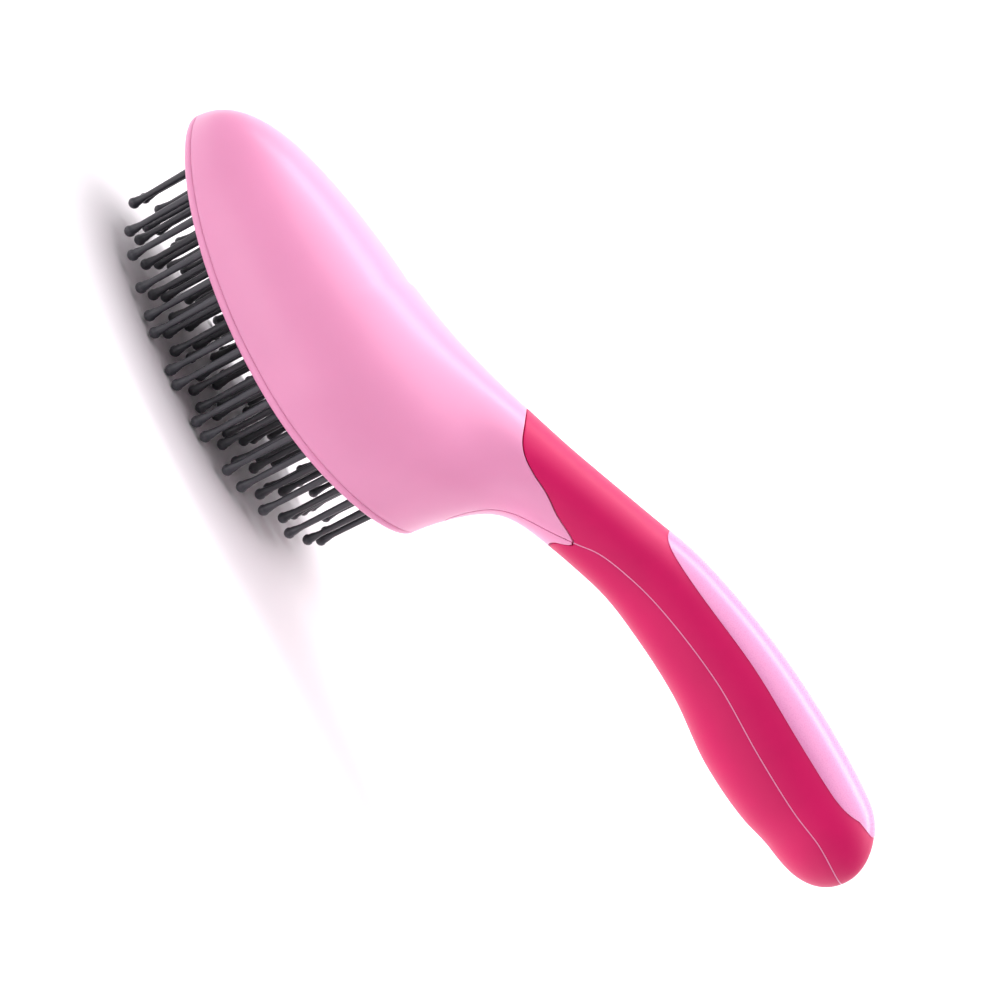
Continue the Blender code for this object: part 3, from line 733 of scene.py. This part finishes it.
def build_rim(sizes, colours):
    """Oval ring that closes the head and clamps the pad."""
    plastic = shared("abs_satin_moulded", moulded_plastic, tuple(colours.shell), 0.34)
    turn = np.linspace(0, 2 * math.pi, 241)
    loops = []
    section = rim_section(sizes.rim_width, sizes.rim_radius)
    for inset, rise in section + section[:1]:
        plan = outline(turn, inset)
        loops.append(np.stack([plan[:, 0], plan[:, 1], rim_height(plan[:, 0]) + rise + DATUM], -1))
    bm = sheet_mesh(np.array(loops), turn_outwards=False)
    finish_piece("rim_ring", bm, plastic, ["rim_frame"])


def pad_height(x, y, sizes):
    """Height of the pad's outer face above the datum."""
    clamped = 1 - (sizes.rim_width + GAP) / HEAD_HALF_WIDTH
    share = ((x - WIDE_X) / head_reach(x)) ** 2 + (y / HEAD_HALF_WIDTH) ** 2
    drop = sizes.pad_crown * np.maximum(1 - share / clamped ** 2, 0)
    return rim_height(x) + PARTING_RISE + GAP / 2 - drop


def build_pad(sizes, colours):
    """Rubber pad that swells round the foot of each pin."""
    rubber = shared("rubber_moulded", soft_rubber, tuple(colours.pad), 0.6)
    edge = outline(np.linspace(0, math.pi, 181), sizes.pad_inset)
    edge[0, 1] = edge[-1, 1] = 0
    across = np.linspace(-1, 1, 121)
    x = edge[:, :1] + 0 * across
    y = edge[:, 1:] * across
    z = pad_height(x, y, sizes)
    for row in range(PIN_ROWS):
        for px, py in row_pins(row):
            away = np.hypot(x - px, y - py) / COLLAR_SPREAD
            z = z - sizes.collar * np.exp(-away ** 4)
    bm = sheet_mesh(np.stack([x, y, z + DATUM], -1), turn_outwards=False)
    if sum(f.normal.z for f in bm.faces) > 0:
        bmesh.ops.reverse_faces(bm, faces=bm.faces)
    pad = finish_piece("rubber_pad", bm, rubber, ["bristle_pad"])
    thicken(pad, sizes.pad_wall, PAD_EDGE)


class BRUSH_OT_head(bpy.types.Operator):
    """Build the rim and the rubber pad"""

    bl_idname = "brush.head"
    bl_label = "Rim and pad"

    def execute(self, context):
        build_rim(context.scene.brush_sizes, context.scene.brush_colours)
        build_pad(context.scene.brush_sizes, context.scene.brush_colours)
        return {"FINISHED"}


# ---------------------------------------------------------------- pins
def row_end(row):
    """Where a row's end pins stand: their x, and how far they are from the middle."""
    end = ROW_ENDS[0] + row / (PIN_ROWS - 1) * (ROW_ENDS[1] - ROW_ENDS[0])
    along = (end - WIDE_X) / (float(head_reach(end)) - PIN_EDGE)
    return end, (HEAD_HALF_WIDTH - PIN_EDGE) * math.sqrt(1 - along ** 2)


def row_line(row, y):
    """Plan position of a pin row, a staggered arc that bulges towards its end of the head."""
    centre = ROW_CENTRES[0] + row / (PIN_ROWS - 1) * (ROW_CENTRES[1] - ROW_CENTRES[0])
    end, half = row_end(row)
    spaces = round(2 * half / PIN_PITCH)
    turn = math.pi * (np.abs(y) / (2 * half) * spaces - (spaces % 2) / 2)
    shift = STAGGER * math.sin(math.pi * (row + 0.5) / PIN_ROWS) * (-1) ** row
    return centre + (end - centre) * (y / half) ** 2 + shift * np.cos(turn)


def row_pins(row):
    """Plan positions of the pins of one row."""
    half = row_end(row)[1]
    count = round(2 * half / PIN_PITCH) + 1
    return [(row_line(row, y), y) for y in np.linspace(-half, half, count)]


def pin_profile(sizes, tip, root):
    """Half outline of one pin from its ball tip up to its root."""
    ball = sizes.pin_ball
    centre = tip + ball
    arc = np.linspace(0, BALL_TURN, 10)
    points = [(ball * math.sin(a), centre - ball * math.cos(a)) for a in arc]
    radius, height = points[-1]
    for share in (0.3, 0.65, 1.0):
        ease = share * share * (3 - 2 * share)
        points.append((radius + (sizes.pin_neck - radius) * ease, height + share * PIN_TAPER))
    points.append(((sizes.pin_neck + sizes.pin_root) / 2, (points[-1][1] + root) / 2))
    points.append((sizes.pin_root, root))
    return points


def add_pin(bm, x, y, profile, sides):
    """Spin one pin about its own axis."""
    verts = [bm.verts.new((x + radius, y, height)) for radius, height in profile]
    edges = [bm.edges.new(pair) for pair in zip(verts, verts[1:])]
    bmesh.ops.spin(bm, geom=verts + edges, cent=(x, y, 0), axis=(0, 0, 1), dvec=(0, 0, 0),
                   angle=2 * math.pi, steps=sides, use_merge=True, use_duplicate=False)


def build_pin_row(row, sizes, nylon):
    """One nylon strip: a rail behind the pad and its ball-tipped pins."""
    pins = row_pins(row)
    half = pins[-1][1] + RAIL_OVERHANG
    y = np.linspace(-half, half, 25)
    x = row_line(row, y)
    low = pad_height(x, y, sizes)
    for side in (-RAIL_HALF_WIDTH, RAIL_HALF_WIDTH):
        low = np.maximum(low, pad_height(x + side, y, sizes))
    low = low + sizes.pad_wall + RAIL_GAP + DATUM
    strip = np.stack([np.stack([x + side * RAIL_HALF_WIDTH, y, low], -1) for side in (-1, 1)])
    bm = sheet_mesh(strip, turn_outwards=False)
    sides = bmesh.ops.extrude_face_region(bm, geom=bm.faces[:])
    raised = [v for v in sides["geom"] if isinstance(v, bmesh.types.BMVert)]
    bmesh.ops.translate(bm, verts=raised, vec=(0, 0, RAIL_THICKNESS))
    bmesh.ops.recalc_face_normals(bm, faces=bm.faces)
    for px, py in pins:
        tip = float(rim_height(px)) - sizes.pin_reach + DATUM
        root = float(np.interp(py, y, low)) + RAIL_THICKNESS * PIN_FOOT
        add_pin(bm, px, py, pin_profile(sizes, tip, root), sizes.pin_sides)
    bmesh.ops.remove_doubles(bm, verts=bm.verts, dist=PIN_WELD)
    bmesh.ops.recalc_face_normals(bm, faces=bm.faces)
    number = f"{row + 1:02d}"
    finish_piece("nylon_row_" + number, bm, nylon, ["pin_row_" + number],
                 "row_" + number)


class BRUSH_OT_pins(bpy.types.Operator):
    """Build the rows of ball-tipped pins"""

    bl_idname = "brush.pins"
    bl_label = "Pin rows"

    def execute(self, context):
        nylon = shared("nylon_moulded", moulded_nylon, tuple(context.scene.brush_colours.pins))
        for row in range(PIN_ROWS):
            build_pin_row(row, context.scene.brush_sizes, nylon)
        return {"FINISHED"}


# ---------------------------------------------------------------- stage
def add_area_light(name, place, target, size, power, code):
    """Rectangular soft light aimed at a point."""
    light = bpy.data.lights.new(name, "AREA")
    light.shape = "RECTANGLE"
    light.size, light.size_y = size
    light.energy = power
    light.color = linear(code)
    lamp = bpy.data.objects.new(name, light)
    lamp.location = place
    lamp.rotation_euler = (Vector(target) - Vector(place)).to_track_quat("-Z", "Y").to_euler()
    bpy.context.scene.collection.objects.link(lamp)


def build_floor(colours):
    """Pale floor that curves up into a backdrop."""
    bend = np.linspace(0, math.pi / 2, 25)
    profile = [(-3.0, 0.0), (-1.0, 0.0), (0.0, 0.0), (0.8, 0.0)]
    profile += [(BACKDROP_START + BACKDROP_RADIUS * math.sin(a),
                 BACKDROP_RADIUS - BACKDROP_RADIUS * math.cos(a)) for a in bend]
    profile += [(2.4, 2.4), (2.4, 4.0)]
    across = np.linspace(-FLOOR_HALF_WIDTH, FLOOR_HALF_WIDTH, 17)
    points = np.array([[(x, y, z) for x in across] for y, z in profile])
    bm = sheet_mesh(points, turn_outwards=False)
    if bm.faces[0].normal.z < 0 or sum(f.normal.y for f in bm.faces) > 0:
        bmesh.ops.reverse_faces(bm, faces=bm.faces)
    mesh = bpy.data.meshes.new("studio_floor")
    bm.to_mesh(mesh)
    bm.free()
    mesh.shade_smooth()
    mesh.materials.append(painted_floor("paint_matte_rolled", tuple(colours.floor)))
    floor = bpy.data.objects.new("studio_floor", mesh)
    bpy.context.scene.collection.objects.link(floor)


def build_camera():
    """Camera at the brush's side, looking slightly down and rolled about its own axis."""
    forward = Vector(CAMERA_FORWARD).normalized()
    right = forward.cross(Vector((0, 0, 1))).normalized()
    up = right.cross(forward)
    across = math.cos(CAMERA_ROLL) * right + math.sin(CAMERA_ROLL) * up
    upward = -math.sin(CAMERA_ROLL) * right + math.cos(CAMERA_ROLL) * up
    data = bpy.data.cameras.new("camera")
    data.lens = CAMERA_LENS
    data.sensor_width = 36
    data.clip_start = 0.01
    data.clip_end = 50
    camera = bpy.data.objects.new("camera", data)
    turn = Matrix((across, upward, -forward)).transposed().to_4x4()
    camera.matrix_world = Matrix.Translation(CAMERA_PLACE) @ turn
    bpy.context.scene.collection.objects.link(camera)
    bpy.context.scene.camera = camera


def build_stage(colours):
    """Floor, soft lights, pale surroundings and the camera."""
    build_floor(colours)
    world = bpy.data.worlds.new("studio")
    world.use_nodes = True
    background = world.node_tree.nodes["Background"]
    background.inputs["Color"].default_value = (*linear(WORLD_COLOUR), 1)
    background.inputs["Strength"].default_value = WORLD_STRENGTH
    bpy.context.scene.world = world
    bpy.context.scene.view_settings.view_transform = "Standard"
    for light in LIGHTS:
        add_area_light(*light)
    build_camera()


class BRUSH_OT_stage(bpy.types.Operator):
    """Build the floor, the lights and the camera"""

    bl_idname = "brush.stage"
    bl_label = "Stage"

    def execute(self, context):
        build_stage(context.scene.brush_colours)
        return {"FINISHED"}


# ---------------------------------------------------------------- add-on
class BRUSH_PT_panel(bpy.types.Panel):
    """Sizes, colours and building steps of the brush"""

    bl_label = "Hair brush"
    bl_idname = "BRUSH_PT_panel"
    bl_space_type = "VIEW_3D"
    bl_region_type = "UI"
    bl_category = "Brush"

    def draw(self, context):
        for group in (context.scene.brush_sizes, context.scene.brush_colours):
            for name in group.__annotations__:
                self.layout.prop(group, name)
        for operator in OPERATORS:
            self.layout.operator(operator.bl_idname)


OPERATORS = (BRUSH_OT_shells, BRUSH_OT_grips, BRUSH_OT_inlay,
             BRUSH_OT_head, BRUSH_OT_pins, BRUSH_OT_stage)
CLASSES = (BrushSizes, BrushColours, *OPERATORS, BRUSH_PT_panel)


def register():
    """Register the classes and hang the properties on the scene."""
    for item in CLASSES:
        bpy.utils.register_class(item)
    bpy.types.Scene.brush_sizes = bpy.props.PointerProperty(type=BrushSizes)
    bpy.types.Scene.brush_colours = bpy.props.PointerProperty(type=BrushColours)


def unregister():
    """Remove the properties and the classes."""
    del bpy.types.Scene.brush_colours
    del bpy.types.Scene.brush_sizes
    for item in reversed(CLASSES):
        bpy.utils.unregister_class(item)


def main():
    """Build the whole brush and its stage."""
    register()
    bpy.ops.brush.shells()
    bpy.ops.brush.grips()
    bpy.ops.brush.inlay()
    bpy.ops.brush.head()
    bpy.ops.brush.pins()
    bpy.ops.brush.stage()


if __name__ == "__main__":
    main()
